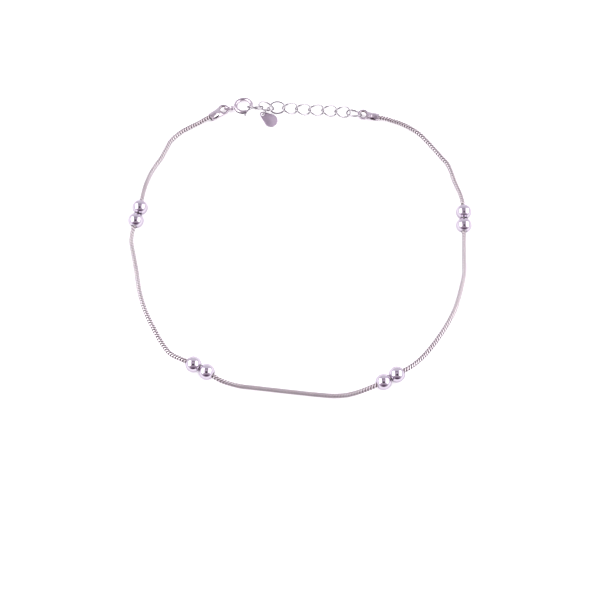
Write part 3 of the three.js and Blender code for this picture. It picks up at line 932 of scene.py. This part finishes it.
# %% Bend the clasp's ring
RING_RADIUS = 0.00213
TUBE_RADIUS = 0.0005
BORE_RADIUS = 0.00038
GATE = (-65, -18)
MOUTH_ROUND = 0.00004
SLOT = (-71, -139)
SLOT_HALF_WIDTH = 0.00026
SLOT_REACH = 0.0008
CLASP_PLACE = (-0.015165, 0.03893, 0.001182)
LOOP_HEADING = 192.8
CLASP_RISE = 4
CLASP_DIP = 8
CLASP_LOOP = (0.00056, 0.00015)
LOOP_SINK = 0.00008
TUBE_SIDES = 28


def ring_section(angle_degrees, radius, sides):
    a = math.radians(angle_degrees)
    out = np.array([math.cos(a), math.sin(a), 0])
    around = np.arange(sides) / sides * 2 * math.pi
    spokes = np.outer(np.cos(around), out) + np.outer(np.sin(around), [0, 0, 1])
    return RING_RADIUS * out + radius * spokes


def hollow_ring():
    start, stop = GATE[1], GATE[0] + 360
    round_angle = math.degrees(MOUTH_ROUND / RING_RADIUS)
    angles = np.linspace(start + round_angle, stop - round_angle, 110)
    outer = [ring_section(start, TUBE_RADIUS - MOUTH_ROUND, TUBE_SIDES)]
    outer += [ring_section(a, TUBE_RADIUS, TUBE_SIDES) for a in angles]
    outer += [ring_section(stop, TUBE_RADIUS - MOUTH_ROUND, TUBE_SIDES)]
    inner = [ring_section(a, BORE_RADIUS, TUBE_SIDES) for a in np.linspace(stop, start, 110)]
    return skin("clasp_ring", outer + inner, closed=True)


def slot_cutter():
    rings = []
    for degrees in np.linspace(SLOT[0], SLOT[1], 24):
        a = math.radians(degrees)
        out = np.array([math.cos(a), math.sin(a), 0])
        corners = [(0.0, -1), (SLOT_REACH, -1), (SLOT_REACH, 1), (0.0, 1)]
        rings.append([
            (RING_RADIUS + r) * out + np.array([0, 0, w * SLOT_HALF_WIDTH]) for r, w in corners
        ])
    return skin("slot", rings)


def wire_loop(name, points, wire_radius, sides):
    points = np.asarray(points, float)
    forward = unit(np.roll(points, -1, axis=0) - np.roll(points, 1, axis=0))
    away = points - points.mean(axis=0)
    away = unit(away - forward * np.sum(away * forward, axis=1, keepdims=True))
    across = np.cross(forward, away)
    around = np.arange(sides) / sides * 2 * math.pi
    spokes = away[:, None, :] * np.cos(around)[:, None] + across[:, None, :] * np.sin(around)[:, None]
    return skin(name, points[:, None, :] + wire_radius * spokes, closed=True)


loop_angle = math.radians(LOOP_HEADING)
loop_reach = RING_RADIUS + TUBE_RADIUS + CLASP_LOOP[0] - LOOP_SINK
loop_middle = (loop_reach * math.cos(loop_angle), loop_reach * math.sin(loop_angle))
small_loop = wire_loop("loop", circle(CLASP_LOOP[0], 40, loop_middle), CLASP_LOOP[1], 14)
across_loop = Vector((math.sin(loop_angle), -math.cos(loop_angle), 0))
clasp_frame = Matrix.Translation(Vector(CLASP_PLACE) - LOOP_MIDDLE)
clasp_frame = clasp_frame @ Matrix.Rotation(math.radians(-CLASP_DIP), 4, "X")
clasp_frame = clasp_frame @ Matrix.Rotation(math.radians(-CLASP_RISE), 4, across_loop)
ring_mesh = join_shapes("clasp_ring", [hollow_ring(), small_loop], cutters=[slot_cutter()])
stand_in("clasp_ring", ring_mesh, clasp_frame)
print("clasp ring faces:", len(ring_mesh.polygons))

# %% [markdown]
# The bolt is a bent wire with rounded ends. Its thumb knob is a short stem with a small flattened
# head, set close to the bolt's front end. It rides on its own body, because it is the piece that
# the thumb moves.

# %% Shape the clasp's bolt
BOLT_RADIUS = 0.00025
BOLT_ENDS = (-8, -124)
KNOB_ANGLE = -80
STEM_RADIUS = 0.00017
STEM_START_RADIUS = 0.00002
KNOB_REACH = 0.00313
KNOB_SIZE = (0.00032, 0.00024)
# From the stem over the head to its top, as angles of its outline
KNOB_TURN = (math.pi - 0.56, 0.1)


def rounded_ends(count, steps=5):
    # Scale of each ring's radius along a rod, so that both ends are round
    ease = np.sqrt(1 - (1 - np.linspace(0.12, 1, steps)) ** 2)
    return np.concatenate([ease, np.ones(count - 2 * steps), ease[::-1]])


def bolt_rod():
    inset = math.degrees(BOLT_RADIUS / RING_RADIUS)
    front = np.linspace(BOLT_ENDS[0], BOLT_ENDS[0] - inset, 5)
    back = np.linspace(BOLT_ENDS[1] + inset, BOLT_ENDS[1], 5)
    middle = np.linspace(front[-1], back[0], 44)[1:-1]
    angles = np.concatenate([front, middle, back])
    sizes = rounded_ends(len(angles))
    return skin("rod", [ring_section(a, BOLT_RADIUS * s, 18) for a, s in zip(angles, sizes)])


def knob_mesh():
    # Turned round Y, then laid along the thumb's direction
    long, wide = KNOB_SIZE
    turns = np.linspace(*KNOB_TURN, 14)
    head = [(long * math.sin(a), KNOB_REACH + wide * math.cos(a)) for a in turns]
    outline = [(STEM_START_RADIUS, RING_RADIUS), (STEM_RADIUS, RING_RADIUS), *head]
    angles = np.arange(24) / 24 * 2 * math.pi
    rings = [[(r * math.cos(a), y, r * math.sin(a)) for a in angles] for r, y in outline]
    knob = skin("knob", rings)
    knob.transform(Matrix.Rotation(math.radians(KNOB_ANGLE - 90), 4, "Z"))
    return knob


bolt_mesh = join_shapes("clasp_bolt", [bolt_rod(), knob_mesh()])
stand_in("clasp_bolt", bolt_mesh, clasp_frame)
print("bolt faces:", len(bolt_mesh.polygons))

# %% [markdown]
# The jump ring, the tag's ring and all the extender's links are round wire bent into a loop. A torus
# would do for the rings, but the links are ovals that are also twisted, as in a curb chain, so that
# each lies flat and still passes through the next. One helper carries the wire round any closed
# loop, and it serves the rings too.

# %% Bend the rings
WIRE_RADIUS = 0.0002
JUMP_RING = {"radius": 0.00095, "distance": 0.00141, "z": 0.00116, "heading": 4, "lean": 16}
JUMP_RING_WIRE = 0.00025
TAG_RING = {"radius": 0.0012, "z": 0.001339, "heading": 54.8, "lean": 20.1}
TAG_RING_PLACE = (-0.009206, 0.03723)

towards_clasp = math.radians(LOOP_HEADING - 180)
jump_place = (
    CLASP_CAP[0] + JUMP_RING["distance"] * math.cos(towards_clasp),
    CLASP_CAP[1] + JUMP_RING["distance"] * math.sin(towards_clasp),
)
for node, ring_spec, ring_place, ring_wire in (
    ("clasp_jump_ring", JUMP_RING, jump_place, JUMP_RING_WIRE),
    ("tag_ring", TAG_RING, TAG_RING_PLACE, WIRE_RADIUS),
):
    ring = wire_loop(node, circle(ring_spec["radius"], 64), ring_wire, 14)
    stand_in(node, ring, placed(
        *ring_place, ring_spec["z"], heading=ring_spec["heading"], roll=90 + ring_spec["lean"],
    ))
print("rings bent: 2")

# %% [markdown]
# Each link is given by its middle, its heading and pitch, and how far its wire is rolled about its
# long axis at its two ends. The roll is what lets flat links pass through each other.

# %% Bend the extender's links
LINK_HALF_LENGTH = 0.00204
LINK_HALF_WIDTH = 0.00155
# x, y, z, heading, pitch, roll at the first end, roll at the last end
LINKS = [
    (-0.011978, 0.038153, 0.001622, -8, 8.4, -74.6, -35.8),
    (-0.009005, 0.038738, 0.001026, -18.8, -6.9, -1.4, -40.7),
    (-0.0061, 0.038544, 0.000849, 0, 0.6, 12.5, 33.1),
    (-0.0027, 0.03845, 0.00066, -3, 0, -35, 35),
    (0.0008, 0.03815, 0.00066, -6, 0, -35, 35),
    (0.00432, 0.0379, 0.00066, -3, 0, -35, 35),
    (0.00785, 0.0377, 0.00066, -4, 0, -35, 35),
    (0.0114, 0.03735, 0.00066, -5, 0, -35, 35),
    (0.014486, 0.0366, 0.001014, -21, 8.4, -16.3, -46.7),
]


def link_loop(first_roll, last_roll):
    angle = np.linspace(0, 2 * math.pi, 80, endpoint=False)
    along = np.cos(angle)
    across = LINK_HALF_WIDTH * np.sin(angle)
    roll = np.radians(first_roll + (last_roll - first_roll) * (along + 1) / 2)
    return np.column_stack([LINK_HALF_LENGTH * along, across * np.cos(roll), across * np.sin(roll)])


for number, (x, y, z, heading, pitch, first_roll, last_roll) in enumerate(LINKS, 1):
    link = wire_loop("link", link_loop(first_roll, last_roll), WIRE_RADIUS, 14)
    stand_in(f"link_{number:02d}", link, placed(x, y, z, heading=heading, pitch=pitch))
print("links bent:", len(LINKS))

# %% [markdown]
# The tag is a small teardrop stamped from sheet, with a hole at its narrow end and a plain satin
# face. Stamping leaves the edge softly rounded, which catches the light. A bevel could round it,
# but here the outline is carried over a rounded edge, from the hole's rim on one face out and
# round to the other face, so the hole needs no cutting.

# %% Stamp the tag
TAG_PLACE = (-0.01, 0.03642, 0.000889)
TAG_HEADING = -36
TAG_PITCH = -9
TAG_ROUND = 0.00185
TAG_TIP = 0.00078
TAG_HOLE = 0.00048
TAG_LENGTH = 0.00275
TAG_THICK = 0.0003
TAG_EDGE = 0.0001
TAG_STEPS = 120


def teardrop(inset):
    # Evenly spaced directions seen from the hole, each carried out to the outline
    big, small = TAG_ROUND - inset, TAG_TIP - inset
    spread = math.acos((TAG_ROUND - TAG_TIP) / TAG_LENGTH)
    big_arc = arc_points((TAG_LENGTH, 0), big, -math.pi + spread, math.pi - spread, 70)
    small_arc = arc_points((0, 0), small, math.pi - spread, math.pi + spread, 26)
    loop = np.array(big_arc + small_arc + big_arc[:1])
    along = np.concatenate([[0], np.cumsum(np.linalg.norm(np.diff(loop, axis=0), axis=1))])
    at = np.linspace(0, along[-1], TAG_STEPS, endpoint=False)
    return np.column_stack([np.interp(at, along, loop[:, i]) for i in range(2)])


def hole_ring(radius, outline):
    angles = np.unwrap(np.arctan2(outline[:, 1], outline[:, 0]))
    return np.column_stack([radius * np.cos(angles), radius * np.sin(angles)])


def tag_mesh():
    outline = teardrop(0)
    half = TAG_THICK / 2
    rim = [
        (TAG_HOLE + TAG_EDGE, half),
        (TAG_HOLE, half - TAG_EDGE),
        (TAG_HOLE, TAG_EDGE - half),
        (TAG_HOLE + TAG_EDGE, -half),
    ]
    rings = [(hole_ring(radius, outline), z) for radius, z in rim]
    for a in np.linspace(-90, 90, 9):
        inset = TAG_EDGE * (1 - math.cos(math.radians(a)))
        z = (half - TAG_EDGE) * np.sign(a) + TAG_EDGE * math.sin(math.radians(a))
        rings.append((teardrop(inset), z))
    rings = [np.column_stack([plan, np.full(TAG_STEPS, z)]) for plan, z in rings]
    return skin("tag_plate", rings, closed=True)


tag_plate = tag_mesh()
stand_in("tag_plate", tag_plate, placed(*TAG_PLACE, heading=TAG_HEADING, pitch=TAG_PITCH))
print("tag faces:", len(tag_plate.polygons))

# %% [markdown]
# Last, the size of what was made is printed.

# %% Measure and finish
low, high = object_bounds()
print("visual size in mm:", [round(1000 * s, 2) for s in high - low])
